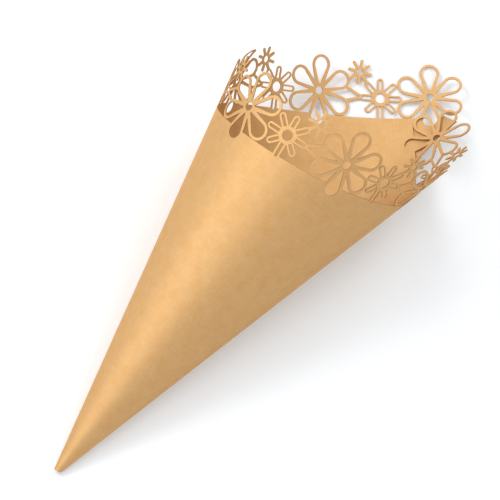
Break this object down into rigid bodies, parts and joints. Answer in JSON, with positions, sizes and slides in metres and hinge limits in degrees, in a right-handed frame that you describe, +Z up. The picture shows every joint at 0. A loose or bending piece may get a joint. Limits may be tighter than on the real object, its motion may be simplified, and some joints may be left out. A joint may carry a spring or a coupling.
{
  "type": "confetti cone",
  "caption": "Slim cone rolled from one sheet of gold satin card, with a slanted mouth edged in cut-out flower lace and a snipped tip, lying on its side.",
  "frame": {"origin": "centre of the footprint, on the surface that the cone lies on", "axes": "+Z up, +X along the line that the cone lies on, from its tip to its mouth, +Y to the left of that"},
  "size_m": [0.2008, 0.0806, 0.0707],
  "materials": {
    "gold_card": "satin"
  },
  "bodies": {
    "root": {"card_cone": "gold_card"}
  },
  "joints": []
}
